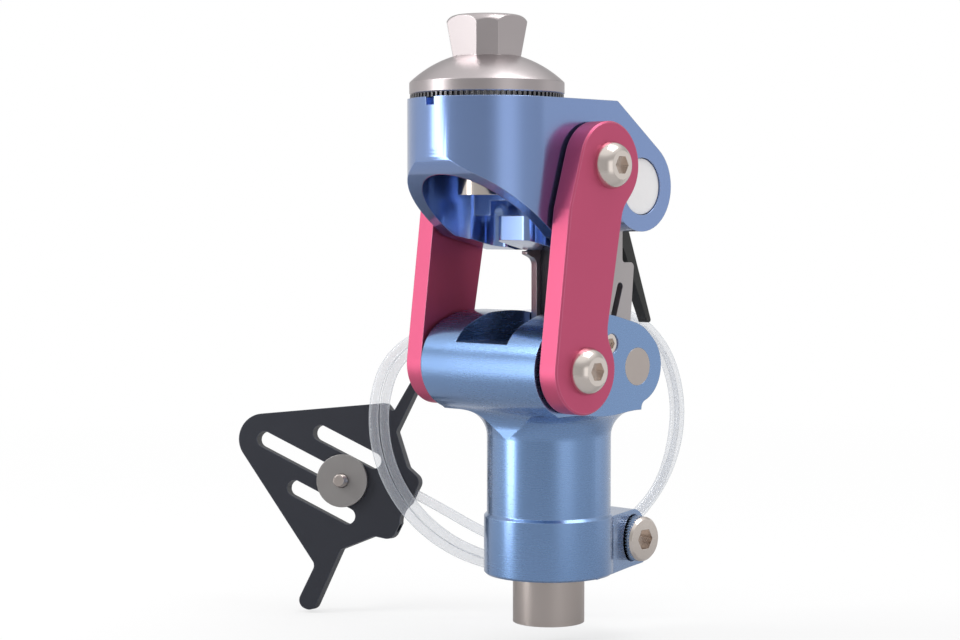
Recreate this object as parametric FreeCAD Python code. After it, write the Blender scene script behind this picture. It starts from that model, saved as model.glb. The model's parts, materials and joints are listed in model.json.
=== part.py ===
import FreeCAD, Part
import os
from math import atan2, cos, degrees, radians, sin, sqrt, tan
from FreeCAD import Matrix, Vector

# Four-bar prosthetic knee for a small user, in millimetres. +X is the side that faces
# the viewer's right, +Y is the back of the leg and +Z is up. The origin is the centre of
# the pylon stub's lower face.

# Pivots of the four-bar linkage as (Y, Z) pairs
upper_front_pivot = (-7.4, 139.1)
lower_front_pivot = (-17.9, 79.4)
upper_rear_pivot = (15.9, 133.3)
lower_rear_pivot = (14.1, 78.8)

# Clearances
fit_gap = 0.02
running_gap = 0.05
side_gap = 0.3

# Pylon stub and its clamp
pylon_radius = 11.0
pylon_wall = 2.0
pylon_free_length = 15.0
pylon_depth = 35.0
pylon_groove_width = 1.2
pylon_groove_depth = 0.4
collar_radius = 19.9
collar_height = 18.7
collar_step = 0.9
clamp_ear_radius = 9.95
clamp_ear_half_width = 11.5
clamp_screw_place = (27.0, 23.9)
clamp_slit = 2.0
clamp_slit_height = 26.0
clamp_relief_radius = 2.0
clamp_head_radius = 7.0
clamp_head_length = 8.0
clamp_head_face = 16.0
clamp_shank_radius = 4.0
clamp_knurl_count = 40
clamp_knurl_depth = 0.35
clamp_key_width = 6.0
clamp_key_depth = 4.5

# Lower frame
neck_radius = 19.0
frame_half_width = 23.5
knuckle_radius = 13.9
knuckle_chamfer = 0.7
hump_radius = 48.0
hump_centre = (-6.0, 47.5)
lower_ear_radius = 11.05
flare_radius = 8.5
front_fillet = 7.0
rear_fillet = 2.5
ear_root = 16.0
slot_half_width = 10.6
slot_floor = 86.7
slot_front_top = -12.2
slot_front_foot = (7.6, 61.0)
pocket_travel = (5.2, -11.8)
pocket_gap = 1.4
lower_axle_radius = 5.7
side_screw_place = (2.2, 86.2)
side_screw_radius = 3.0
side_screw_depth = 8.0

# Front links, their axles, bushes and screws
link_gap = 1.1
link_thickness = 6.6
link_end_radius = 12.9
link_rear_side = (-5.6, 105.0)
link_rear_lean = -10.8
link_upper_lean = 162.8
link_lower_lean = 172.6
link_waist_fillet = 9.0
link_bevel = 0.5
axle_radius = 6.0
axle_room = 0.4
bush_wall = 1.5
bush_length = 9.0
washer_radius = 9.5
screw_thread_radius = 4.0
screw_reach = 12.0
button_radius = 7.0
button_height = 4.4
button_flat_radius = 4.2
button_key_width = 5.0
button_key_depth = 3.1

# Upper frame
socket_centre = -27.2
socket_radius = 24.3
socket_wall = 4.5
upper_floor = 114.0
upper_top = 158.6
upper_ear_radius = 13.7
upper_ear_notch = 2.5
upper_chamfer_lean = 53.8
oblique_front = (-51.5, 142.5)
oblique_bend = (-22.3, 118.4)
oblique_back = (-3.2, 114.0)
cavity_top = 153.6
cavity_back = -16.5
web_back = 1.0
upper_slot_half_width = 10.9
pocket_radius = 4.6
pocket_offset = 9.0
pocket_back = -8.5
pocket_top = 124.0
pillar_radius = 4.4
pillar_back = -2.0
pillar_top = 127.0
nose_slot_gap = 0.4
nose_slot_top = 122.6
rim_notch_width = 3.2
rim_notch_depth = 2.4

# Pyramid adapter, its ring and its nut
ring_thickness = 1.3
ring_radius = 23.2
ring_tooth_count = 48
ring_tooth_radius = 1.25
dome_radius = 23.5
dome_rim = 3.6
dome_ball_radius = 34.5
dome_neck_radius = 9.9
head_bottom_half = 9.2
head_top_half = 10.9
head_corner_width = 6.4
head_height = 12.4
head_round = 3.2
stem_radius = 6.0
nut_radius = 8.5
nut_bottom = 130.5
nut_floor = 1.5

# Rear link with its lock lever
plate_outer = 10.3
plate_thickness = 2.3
plate_head_radius = 11.6
plate_foot_radius = 11.0
plate_back_lean = 5.0
plate_shoulder = 110.0
plate_waist_back = 22.3
plate_nose = -1.2
plate_nose_bottom = 112.2
plate_nose_height = 113.6
plate_slot_bottom = (17.0, 90.0)
plate_slot_top = (21.2, 102.6)
plate_slot_radius = 1.3
core_inset = 1.6
core_bore_radius = 7.2
rear_axle_radius = 6.0
rear_axle_half_length = 20.6
cap_radius = 8.5
cap_inset = 0.6
cap_bore_radius = 8.65
sleeve_bore = 4.0
rivet_radius = 2.0
rivet_places = ((9.6, 92.0), (10.2, 106.0))
lever_pivot = (17.6, 112.6)
lever_hub_radius = 4.2
lever_hub_half_width = 5.0
lever_pin_radius = 2.0
lever_elbow = (34.6, 121.0)
lever_tail_end = (45.2, 92.0)
lever_arm_radius = 2.3
lever_tail_radius = 1.85
lever_space_radius = 6.2
lever_space_top = 124.0
bumper_half_width = 4.0
bumper_bottom = 115.0
bumper_top = 127.0

# Clear tube, its ferrule and the cable plate that hangs on it
view_azimuth = 44.5
tube_radius = 1.6
coil_centre = (-4.8, 59.1)
coil_depth = -46.4
coil_radius = 49.2
coil_half_width = 3.3
coil_half_depth = 2.4
coil_corner = 22.0
coil_top = (-3.0, 92.0)
coil_top_lean = 97.0
coil_left_lean = 165.0
ferrule_radius = 3.2
ferrule_seat = 4.0
ferrule_lip = 2.5
ferrule_reach = 24.0
ferrule_height = 48.5

# The tube's route as (rightwards, towards the viewer, up) from the pylon axis, by hand
lead_route = [
    (-44.3, -52.7, 33.1), (-35.6, -50.1, 28.9), (-19.8, -45.6, 20.3), (-6.3, -42.4, 15.7),
    (6.8, -41.9, 14.7), (20.0, -41.9, 19.3), (30.9, -42.0, 27.6), (38.8, -42.9, 38.2), (42.9, -46.0, 47.2),
]
tail_route = [
    (0, -24.0, 48.5), (0, -33.2, 48.5), (0.4, -41.2, 43.9), (0.2, -45.8, 35.8),
    (-0.2, -46.4, 26.2), (-4.8, -46.5, 17.7), (-13.0, -46.5, 12.3),
]

plate_origin = (-88.75, -5.2, 36.0)
plate_axis_drop = 25.8
plate_tilt = 15.0
cable_plate_thickness = 5.0
cable_plate_length = 33.5
cable_plate_tip_radius = 6.0
cable_slot_radius = 2.35
cable_boss_radius = 3.2
cable_boss_place = (23.2, 7.2)
knob_radius = 8.1
knob_thickness = 1.6
knob_stud_radius = 2.2
knob_stud_front = 7.5
knob_stud_back = 4.0


def unit(angle):
    return cos(radians(angle)), sin(radians(angle))


def side(place, radius, angle, corner):
    """A straight side of a sketch: it touches a circle at an angle, and ends in a rounded corner."""
    normal = unit(angle)
    point = (place[0] + radius * normal[0], place[1] + radius * normal[1])
    return point, angle, corner


def meet(first, second):
    p, a = first[0], radians(first[1] + 90)
    q, b = second[0], radians(second[1] + 90)
    along = ((q[0] - p[0]) * sin(b) - (q[1] - p[1]) * cos(b)) / sin(b - a)
    return p[0] + along * cos(a), p[1] + along * sin(a)


def sketch(sides, lift):
    """A closed wire through the sides' corners, each one rounded by its radius."""
    count = len(sides)
    edges = []
    ends = []
    for index in range(count):
        here, after = sides[index], sides[(index + 1) % count]
        corner = meet(here, after)
        turn = (after[1] - here[1] + 180) % 360 - 180
        radius = max(here[2], 0.001)
        reach = radius * tan(radians(abs(turn)) / 2)
        way_in, way_out = unit(here[1] + 90), unit(after[1] + 90)
        start = (corner[0] - reach * way_in[0], corner[1] - reach * way_in[1])
        end = (corner[0] + reach * way_out[0], corner[1] + reach * way_out[1])
        hand = 1 if turn > 0 else -1
        centre = (start[0] - hand * radius * way_in[1], start[1] + hand * radius * way_in[0])
        span = sqrt((corner[0] - centre[0]) ** 2 + (corner[1] - centre[1]) ** 2)
        middle = (centre[0] + (corner[0] - centre[0]) * radius / span,
                  centre[1] + (corner[1] - centre[1]) * radius / span)
        ends.append((start, middle, end))
    for index in range(count):
        start, middle, end = ends[index]
        before = ends[index - 1][2]
        if sqrt((before[0] - start[0]) ** 2 + (before[1] - start[1]) ** 2) > 0.002:
            edges.append(Part.LineSegment(lift(*before), lift(*start)).toShape())
        edges.append(Part.Arc(lift(*start), lift(*middle), lift(*end)).toShape())
    return Part.Wire(Part.__sortEdges__(edges))


def across(sides, low_x, high_x):
    """A sketch in the side view, given thickness across the leg."""
    wire = sketch(sides, lambda y, z: Vector(low_x, y, z))
    return Part.Face(wire).extrude(Vector(high_x - low_x, 0, 0))


def rod(radius, low_x, high_x, place):
    return Part.makeCylinder(radius, high_x - low_x, Vector(low_x, place[0], place[1]), Vector(1, 0, 0))


def ring(outer, inner, low_x, high_x, place):
    return rod(outer, low_x, high_x, place).cut(rod(inner, low_x, high_x, place))


def post(radius, low_z, high_z, x=0, y=0):
    return Part.makeCylinder(radius, high_z - low_z, Vector(x, y, low_z))


def block(low, high):
    return Part.makeBox(high[0] - low[0], high[1] - low[1], high[2] - low[2], Vector(*low))


def mirror_x(shape):
    return shape.mirror(Vector(0, 0, 0), Vector(1, 0, 0))


def both_sides(shape):
    return Part.makeCompound([shape, mirror_x(shape)])


def turned(points, x=0, y=0):
    """A solid of revolution about an upright axis, from (radius, height) points and arcs."""
    edges = []
    last = Vector(x + points[0][0], y, points[0][1])
    for point in points[1:]:
        if len(point) == 4:
            middle = Vector(x + point[0], y, point[1])
            end = Vector(x + point[2], y, point[3])
            edges.append(Part.Arc(last, middle, end).toShape())
        else:
            end = Vector(x + point[0], y, point[1])
            edges.append(Part.LineSegment(last, end).toShape())
        last = end
    edges.append(Part.LineSegment(last, Vector(x + points[0][0], y, points[0][1])).toShape())
    return Part.Face(Part.Wire(edges)).revolve(Vector(x, y, 0), Vector(0, 0, 1), 360)


def hexagon(width, low, high):
    """A six-sided key hole along X, centred on the X axis."""
    corner = width / sqrt(3)
    points = [Vector(low, corner * cos(radians(a)), corner * sin(radians(a))) for a in range(0, 361, 60)]
    return Part.Face(Part.makePolygon(points)).extrude(Vector(high - low, 0, 0))


link_inner = frame_half_width + link_gap
link_outer = link_inner + link_thickness
bush_radius = axle_radius + running_gap + bush_wall
collar_top = pylon_free_length + collar_height
pylon_top = pylon_free_length + pylon_depth
dome_bottom = upper_top + ring_thickness
dome_top = dome_bottom + dome_rim + sqrt(dome_ball_radius ** 2 - dome_neck_radius ** 2) - sqrt(
    dome_ball_radius ** 2 - dome_radius ** 2)
head_top = dome_top + head_height
plate_inner = plate_outer - plate_thickness
core_half_width = plate_inner - fit_gap


def lower_side_view():
    pivot, ear = lower_front_pivot, lower_rear_pivot
    return [
        side((0, pylon_free_length + 25), 0, 270, 0),
        side((ear_root, 0), 0, 0, rear_fillet),
        side(ear, lower_ear_radius, -70, lower_ear_radius),
        side(ear, lower_ear_radius, 0, lower_ear_radius),
        side(ear, lower_ear_radius, 48, 16),
        side(hump_centre, hump_radius, 76, hump_radius),
        side(hump_centre, hump_radius, 92, 20),
        side(pivot, knuckle_radius, 112, knuckle_radius),
        side(pivot, knuckle_radius, 180, knuckle_radius),
        side(pivot, knuckle_radius, 247.6, front_fillet),
        side((-neck_radius, 0), 0, 180, 0),
    ]


def lower_body():
    """The milled side view, turned below into a round neck with a flared top."""
    milled = across(lower_side_view(), -frame_half_width, frame_half_width)
    shoulder = lower_front_pivot[1] - knuckle_radius + 0.1
    start = shoulder - flare_radius
    bend = flare_radius * sin(radians(45))
    wide = 3 * neck_radius
    turned_blank = turned([
        (0, 0), (neck_radius, 0), (neck_radius, start),
        (neck_radius + flare_radius - bend, start + bend, neck_radius + flare_radius, shoulder),
        (wide, shoulder), (wide, upper_top), (0, upper_top)])
    body = milled.common(turned_blank)
    neck = post(neck_radius, collar_top - 1, start)
    collar = turned([
        (0, pylon_free_length), (collar_radius - 0.6, pylon_free_length),
        (collar_radius, pylon_free_length + 0.6), (collar_radius, collar_top - collar_step),
        (neck_radius, collar_top), (0, collar_top)])
    return body.fuse([neck, collar, clamp_ear()]).removeSplitter()


def clamp_ear():
    y, z = clamp_screw_place
    outline = across([
        side((0, pylon_free_length), 0, 270, 3.0),
        side((y, z), clamp_ear_radius, 0, clamp_ear_radius),
        side((0, collar_top - collar_step), 0, 90, 0),
        side((0, 0), 0, 180, 0)], -collar_radius, collar_radius)
    reach = y + clamp_ear_radius
    half = clamp_ear_half_width
    plan = Part.makePolygon([Vector(-collar_radius, 0, 0), Vector(collar_radius, 0, 0),
                             Vector(half, y - 2, 0), Vector(half - 3.5, reach, 0),
                             Vector(3.5 - half, reach, 0), Vector(-half, y - 2, 0),
                             Vector(-collar_radius, 0, 0)])
    tall = Part.Face(plan).extrude(Vector(0, 0, collar_top))
    return outline.common(tall)


def lower_slot():
    """The space that the rear link swings in, open upwards and backwards."""
    foot = plate_foot_radius + pocket_gap
    y, z = lower_rear_pivot
    dy, dz = pocket_travel
    width = (-slot_half_width, slot_half_width)
    low = (y + dy, z + dz)
    path = degrees(atan2(dz, dy))
    pocket = across([
        side((y, z), foot, path - 90, foot), side(low, foot, path, foot),
        side(low, foot, path + 90, foot), side((y, z), foot, path + 180, foot)], *width)
    far = 60
    corners = [(-far, slot_floor), (slot_front_top, slot_floor), slot_front_foot, low,
               (far, low[1]), (far, upper_top), (-far, upper_top), (-far, slot_floor)]
    above = Part.makePolygon([Vector(width[0], *corner) for corner in corners])
    return pocket.fuse(Part.Face(above).extrude(Vector(2 * slot_half_width, 0, 0)))


def lower_frame():
    body = lower_body()
    y, z = clamp_screw_place
    seat = clamp_head_face - clamp_head_length
    cuts = [
        lower_slot(),
        post(pylon_radius + fit_gap, 0, pylon_top),
        block((-clamp_slit / 2, 0, 0), (clamp_slit / 2, 60, pylon_free_length + clamp_slit_height)),
        Part.makeCylinder(clamp_relief_radius, 60, Vector(0, 0, pylon_free_length + clamp_slit_height),
                          Vector(0, 1, 0)),
        axle_bore(lower_front_pivot),
        rod(lower_axle_radius + fit_gap, -30, 30, lower_rear_pivot),
        rod(clamp_head_radius + 0.4, seat, 30, (y, z)),
        rod(clamp_shank_radius + running_gap, -30, 30, (y, z)),
        rod(side_screw_radius + fit_gap, frame_half_width - side_screw_depth, 30, side_screw_place),
        rod(side_screw_radius + fit_gap, -30, side_screw_depth - frame_half_width, side_screw_place),
    ]
    body = body.cut(cuts[0])
    for tool in cuts[1:]:
        body = body.cut(tool)
    return body.cut(ferrule_hole())


def facing(right, near, up):
    """A point given by its place across the viewer's line of sight, along it and in height."""
    x, y = unit(view_azimuth)
    return Vector(right * x + near * y, right * y - near * x, up)


def ferrule_hole():
    return ferrule_rod(ferrule_radius + fit_gap, neck_radius - ferrule_seat, ferrule_reach)


def ferrule_rod(radius, start, end):
    line = facing(0, -1, 0)
    return Part.makeCylinder(radius, end - start, facing(0, -start, ferrule_height), line)


def button_screw():
    """A button-head screw along +X with its head's underside at X = 0."""
    edge = 0.8
    drop = button_height - edge
    mid_r = button_flat_radius + (button_radius - button_flat_radius) * 0.62
    mid_h = edge + drop * 0.62
    head = turned([(0, 0), (button_radius, 0), (button_radius, edge),
                   (mid_r, mid_h, button_flat_radius, button_height), (0, button_height)])
    head = head.fuse(post(screw_thread_radius, -link_thickness - screw_reach, 0))
    head.rotate(Vector(0, 0, 0), Vector(0, 1, 0), 90)
    return head.cut(hexagon(button_key_width, button_height - button_key_depth, button_height + 1))


def link_screws():
    screws = []
    for place in (upper_front_pivot, lower_front_pivot):
        screw = button_screw()
        screw.translate(Vector(link_outer, place[0], place[1]))
        screws += [screw, mirror_x(screw)]
    return Part.makeCompound(screws)


def front_link():
    """One coloured link plate: two round ends, a kinked front edge and a waisted back edge."""
    top, foot, end = upper_front_pivot, lower_front_pivot, link_end_radius
    outline = [
        side(top, end, -42, end), side(top, end, 20, end), side(top, end, 90, end),
        side(top, end, link_upper_lean, 5.0),
        side(foot, end, link_lower_lean, end), side(foot, end, 270, end),
        side(foot, end, 0, end), side(foot, end, 26, link_waist_fillet),
        side(link_rear_side, 0, link_rear_lean, link_waist_fillet),
    ]
    plate = across(outline, link_inner, link_outer)
    for place in (top, foot):
        plate = plate.cut(rod(screw_thread_radius + fit_gap, 0, 40, place))
    rims = [e for e in plate.Edges if abs(e.BoundBox.XMin - link_outer) < 0.01 and e.Length > 1
            and not is_round(e, screw_thread_radius + fit_gap)]
    return plate.makeChamfer(link_bevel, rims)


def is_round(edge, radius):
    return hasattr(edge.Curve, "Radius") and abs(edge.Curve.Radius - radius) < 0.01


def front_axle(place):
    axle = rod(axle_radius, -link_inner, link_inner, place)
    for x in (-link_inner, link_inner - screw_reach - 1):
        axle = axle.cut(rod(screw_thread_radius + fit_gap, x, x + screw_reach + 1, place))
    return axle


def axle_bore(place):
    """A clear bore for the axle, opened at both ends for its bushes."""
    seat = frame_half_width - bush_length
    bore = rod(axle_radius + axle_room, -seat, seat, place)
    return Part.makeCompound([bore, rod(bush_radius + fit_gap, seat, frame_half_width + 1, place),
                              rod(bush_radius + fit_gap, -frame_half_width - 1, -seat, place)])


def bushes(place):
    return both_sides(ring(bush_radius, axle_radius + running_gap,
                           frame_half_width - bush_length, frame_half_width, place))


def link_washers():
    gap = 0.1
    washers = []
    for place in (upper_front_pivot, lower_front_pivot):
        washer = ring(washer_radius, axle_radius + fit_gap, frame_half_width + gap, link_inner, place)
        washers += [washer, mirror_x(washer)]
    return Part.makeCompound(washers)


def cheeks():
    ear = upper_rear_pivot
    return across([
        side((0, upper_floor), 0, 270, 1.5),
        side((upper_ear_notch, 0), 0, 0, 3.0),
        side(ear, upper_ear_radius, 222, upper_ear_radius),
        side(ear, upper_ear_radius, 300, upper_ear_radius),
        side(ear, upper_ear_radius, 0, upper_ear_radius),
        side(ear, upper_ear_radius, upper_chamfer_lean, 1.5),
        side((0, upper_top), 0, 90, 0),
        side((socket_centre, 0), 0, 180, 0)], -frame_half_width, frame_half_width)


def oblique_cut():
    """Everything in front of and below the slanted lower face."""
    slope = (oblique_bend[1] - oblique_front[1]) / (oblique_bend[0] - oblique_front[0])
    reach = 30
    high = oblique_front[0] - reach
    points = [oblique_back, oblique_bend, (high, oblique_front[1] - slope * reach),
              (high, upper_floor - 2 * reach), (oblique_back[0], upper_floor - 2 * reach)]
    outline = [Vector(-40, y, z) for y, z in points + points[:1]]
    return Part.Face(Part.makePolygon(outline)).extrude(Vector(80, 0, 0))


def cavity():
    """The hollow in the socket cylinder, with a flat back and the recess around its pillar."""
    inner = socket_radius - socket_wall
    bore = post(inner, upper_floor - 6, cavity_top, 0, socket_centre)
    front = block((-30, -60, 0), (30, cavity_back, 200))
    hollow = bore.common(front)
    low = upper_floor - 6
    start = cavity_back - 2
    hollow = hollow.fuse(block((-pocket_offset, start, low), (pocket_offset, pocket_back, pillar_top)))
    for x in (-pocket_offset, pocket_offset):
        hollow = hollow.fuse(post(pocket_radius, low, pocket_top, x, pocket_back))
        hollow = hollow.fuse(Part.makeSphere(pocket_radius, Vector(x, pocket_back, pocket_top)))
        hollow = hollow.fuse(block((x - pocket_radius, start, low),
                                   (x + pocket_radius, pocket_back, pocket_top)))
    return hollow.removeSplitter()


def nose_slots():
    """Slots through the web for the noses of the rear link's plates."""
    low, high = plate_inner - nose_slot_gap, plate_outer + nose_slot_gap
    slot = block((low, pocket_back, upper_floor - 6), (high, web_back + 1, nose_slot_top))
    return both_sides(slot)


def upper_frame():
    body = post(socket_radius, upper_floor, upper_top, 0, socket_centre).fuse(cheeks()).removeSplitter()
    body = body.cut(oblique_cut()).cut(cavity())
    body = body.cut(nose_slots())
    pillar = post(pillar_radius, upper_floor, pillar_top, 0, pillar_back)
    body = body.fuse(pillar)
    slot = block((-upper_slot_half_width, web_back, upper_floor - 10),
                 (upper_slot_half_width, 60, upper_top + 10))
    notch = block((-rim_notch_width / 2, socket_centre - socket_radius - 1, upper_top - rim_notch_depth),
                  (rim_notch_width / 2, socket_centre - socket_radius + 3, upper_top + 1))
    for tool in (slot, notch,
                 post(stem_radius + 0.1, cavity_top - 1, upper_top + 1, 0, socket_centre),
                 axle_bore(upper_front_pivot),
                 rod(cap_bore_radius, rear_axle_half_length, 30, upper_rear_pivot),
                 rod(cap_bore_radius, -30, -rear_axle_half_length, upper_rear_pivot),
                 rod(rear_axle_radius + fit_gap, -30, 30, upper_rear_pivot)):
        body = body.cut(tool)
    return body


def pyramid_adapter():
    """A domed flange with a four-sided head that widens upwards, and a threaded stem below."""
    slope = dome_ball_radius
    rim_top = dome_bottom + dome_rim
    centre = rim_top - sqrt(slope ** 2 - dome_radius ** 2)
    mid = (dome_radius + dome_neck_radius) / 2
    dome = turned([
        (0, dome_bottom), (dome_radius - 0.4, dome_bottom), (dome_radius, dome_bottom + 0.4),
        (dome_radius, rim_top),
        (mid, centre + sqrt(slope ** 2 - mid ** 2), dome_neck_radius, dome_top),
        (0, dome_top)], 0, socket_centre)
    stem = post(stem_radius, nut_bottom + nut_floor + 0.5, dome_bottom, 0, socket_centre)
    return dome.fuse([pyramid_head(), stem]).removeSplitter()


def pyramid_head():
    def section(half, z):
        cut = head_corner_width / sqrt(2)
        corners = [(half, half - cut), (half - cut, half)]
        points = []
        for turns in range(4):
            for a, b in corners:
                for _ in range(turns):
                    a, b = -b, a
                points.append(Vector(a, socket_centre + b, z))
        return Part.makePolygon(points + points[:1])
    head = Part.makeLoft([section(head_bottom_half, dome_top - 1.0), section(head_top_half, head_top)],
                         True, True)
    reach = head_top_half * sqrt(2) - head_corner_width / 2
    bend = head_round * (1 - sin(radians(45)))
    crown = turned([
        (0, dome_top - 2), (reach + 4, dome_top - 2), (reach + 4, head_top - head_round - 5),
        (reach + 0.05, head_top - head_round),
        (reach - bend, head_top - bend, reach - head_round, head_top), (0, head_top)],
        0, socket_centre)
    return head.common(crown)


def serrated_ring():
    body = post(ring_radius, upper_top, dome_bottom, 0, socket_centre)
    body = body.cut(post(stem_radius + 0.1, upper_top, dome_bottom, 0, socket_centre))
    for index in range(ring_tooth_count):
        angle = 360 * index / ring_tooth_count
        tooth = Part.makeCylinder(ring_tooth_radius, 3, Vector(ring_radius - 1.5, 0, upper_top - 0.5),
                                  Vector(1, 0, 0))
        tooth.rotate(Vector(0, 0, 0), Vector(0, 0, 1), angle)
        tooth.translate(Vector(0, socket_centre, 0))
        body = body.cut(tooth)
    return body


def pyramid_nut():
    nut = post(nut_radius, nut_bottom, cavity_top, 0, socket_centre)
    return nut.cut(post(stem_radius + fit_gap, nut_bottom + nut_floor, cavity_top, 0, socket_centre))


def plate_outline(inset):
    """The rear link's side view: a round foot and head, with a nose that meets the frame."""
    foot, head = lower_rear_pivot, upper_rear_pivot
    low, high = plate_foot_radius - inset, plate_head_radius - inset
    front = [side((web_back + side_gap, 0), 0, 180, 1.0), side((0, plate_nose_height), 0, 90, 0.3),
             side((plate_nose, 0), 0, 180, 0.3), side((0, plate_nose_bottom), 0, 250, 3.0)]
    return [
        side(foot, low, 270, low), side(foot, low, -plate_back_lean, 1.5),
        side((0, plate_shoulder - inset), 0, 90, 1.2),
        side((plate_waist_back - inset, 0), 0, 0, 3.0),
        side(head, high, -30, high), side(head, high, 60, high), side(head, high, 150, 4.0),
    ] + front * (inset == 0) + [side(foot, low, 180, low)]


def rear_plate():
    plate = across(plate_outline(0), plate_inner, plate_outer)
    lean = degrees(atan2(plate_slot_top[1] - plate_slot_bottom[1],
                         plate_slot_top[0] - plate_slot_bottom[0]))
    slot = across([
        side(plate_slot_bottom, plate_slot_radius, lean - 90, plate_slot_radius),
        side(plate_slot_top, plate_slot_radius, lean, plate_slot_radius),
        side(plate_slot_top, plate_slot_radius, lean + 90, plate_slot_radius),
        side(plate_slot_bottom, plate_slot_radius, lean + 180, plate_slot_radius)], 0, 20)
    for tool in [slot, rod(core_bore_radius + fit_gap, 0, 20, upper_rear_pivot),
                 rod(lower_axle_radius + fit_gap, 0, 20, lower_rear_pivot),
                 rod(lever_pin_radius + fit_gap, 0, 20, lever_pivot)]:
        plate = plate.cut(tool)
    for place in rivet_places:
        plate = plate.cut(rod(rivet_radius + fit_gap, 0, 20, place))
    return plate


def link_core():
    core = across(plate_outline(core_inset), -core_half_width, core_half_width)
    hub = lever_pivot
    wide = lever_hub_half_width + side_gap
    space = block((-wide, hub[0] - lever_space_radius, hub[1] - 3.5), (wide, 60, lever_space_top))
    space = space.fuse(rod(lever_space_radius, -wide, wide, hub))
    for tool in [space, rod(core_bore_radius + fit_gap, -20, 20, upper_rear_pivot),
                 rod(lower_axle_radius + fit_gap, -20, 20, lower_rear_pivot),
                 rod(lever_pin_radius + fit_gap, -20, 20, lever_pivot)]:
        core = core.cut(tool)
    for place in rivet_places:
        core = core.cut(rod(rivet_radius + fit_gap, -20, 20, place))
    return core


def link_rivets():
    return Part.makeCompound([rod(rivet_radius, -plate_outer, plate_outer, place) for place in rivet_places])


def rear_axle():
    return rod(rear_axle_radius, -rear_axle_half_length, rear_axle_half_length, upper_rear_pivot)


def rear_bush():
    return ring(core_bore_radius, rear_axle_radius + running_gap, -plate_outer, plate_outer, upper_rear_pivot)


def axle_caps():
    face = frame_half_width - cap_inset
    cap = rod(cap_radius, rear_axle_half_length, face, upper_rear_pivot)
    return both_sides(cap)


def lower_axle_ends():
    return both_sides(rod(lower_axle_radius, slot_half_width, frame_half_width, lower_rear_pivot))


def rear_sleeve():
    return ring(lower_axle_radius, sleeve_bore, -plate_outer, plate_outer, lower_rear_pivot)


def capsule_run(start, end, radius):
    a, b = Vector(0, *start), Vector(0, *end)
    return Part.makeCylinder(radius, a.distanceToPoint(b), a, b - a).fuse(Part.makeSphere(radius, a))


def release_lever():
    hub = rod(lever_hub_radius, -lever_hub_half_width, lever_hub_half_width, lever_pivot)
    arm = capsule_run(lever_elbow, lever_pivot, lever_arm_radius)
    tail = capsule_run(lever_elbow, lever_tail_end, lever_tail_radius)
    lever = hub.fuse([arm, tail, Part.makeSphere(lever_tail_radius, Vector(0, *lever_tail_end))])
    return lever.removeSplitter().cut(rod(lever_pin_radius + running_gap, -20, 20, lever_pivot))


def lever_pin():
    return rod(lever_pin_radius, -plate_outer, plate_outer, lever_pivot)


def extension_bumper():
    back = lower_rear_pivot[0] - plate_foot_radius + core_inset - side_gap
    return block((-bumper_half_width, web_back, bumper_bottom), (bumper_half_width, back, bumper_top))


def pylon_stub():
    tube = post(pylon_radius, 0, pylon_top).cut(post(pylon_radius - pylon_wall, 0, pylon_top))
    groove = post(pylon_radius + 1, pylon_free_length, pylon_free_length + pylon_groove_width)
    groove = groove.cut(post(pylon_radius - pylon_groove_depth, 0, pylon_top))
    return tube.cut(groove)


def clamp_screw():
    y, z = clamp_screw_place
    seat = clamp_head_face - clamp_head_length
    head = Part.makeCylinder(clamp_head_radius, clamp_head_length, Vector(seat, 0, 0), Vector(1, 0, 0))
    front = [e for e in head.Edges if abs(e.BoundBox.XMin - clamp_head_face) < 0.01]
    head = head.makeChamfer(0.8, front)
    for index in range(clamp_knurl_count):
        groove = Part.makeCylinder(clamp_knurl_depth, clamp_head_length - 2.2,
                                   Vector(seat, clamp_head_radius, 0), Vector(1, 0, 0))
        groove.rotate(Vector(0, 0, 0), Vector(1, 0, 0), 360 * index / clamp_knurl_count)
        head = head.cut(groove)
    shank = Part.makeCylinder(clamp_shank_radius, seat + clamp_ear_half_width, Vector(-clamp_ear_half_width, 0, 0),
                              Vector(1, 0, 0))
    screw = head.fuse(shank).cut(hexagon(clamp_key_width, clamp_head_face - clamp_key_depth, clamp_head_face + 1))
    screw.translate(Vector(0, y, z))
    return screw


def side_screws():
    face = frame_half_width - 0.4
    screw = rod(side_screw_radius, frame_half_width - side_screw_depth, face, side_screw_place)
    key = hexagon(3.0, face - 2.2, face + 1)
    key.translate(Vector(0, *side_screw_place))
    return both_sides(screw.cut(key))


def ferrule():
    body = ferrule_rod(ferrule_radius, neck_radius - ferrule_seat, ferrule_reach)
    lip = ferrule_rod(ferrule_radius + 1.2, neck_radius + running_gap, neck_radius + ferrule_lip)
    return body.fuse(lip).removeSplitter()


def plate_basis():
    """Unit vectors of the cable plate: along its axis, across it, and out of its face."""
    drop, tilt = radians(plate_axis_drop), radians(plate_tilt)
    near = facing(0, 1, 0)
    flat = facing(cos(drop), 0, -sin(drop))
    along = flat * cos(tilt) + near * sin(tilt)
    out = near * cos(tilt) - flat * sin(tilt)
    return along, along.cross(out) * -1, out


def on_plate(shape):
    along, up, out = plate_basis()
    frame = Matrix(along.x, -up.x, out.x, plate_origin[0],
                   along.y, -up.y, out.y, plate_origin[1],
                   along.z, -up.z, out.z, plate_origin[2], 0, 0, 0, 1)
    return shape.transformGeometry(frame)


def flat_piece(sides, low, high):
    wire = sketch(sides, lambda a, b: Vector(a, b, low))
    return Part.Face(wire).extrude(Vector(0, 0, high - low))


def cable_slot(start, end, across_place):
    r = cable_slot_radius
    return flat_piece([
        side((start, across_place), r, 180, r), side((0, across_place), r, 270, r),
        side((end, across_place), r, 0, r), side((0, across_place), r, 90, r)],
        -cable_plate_thickness, cable_plate_thickness)


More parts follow.
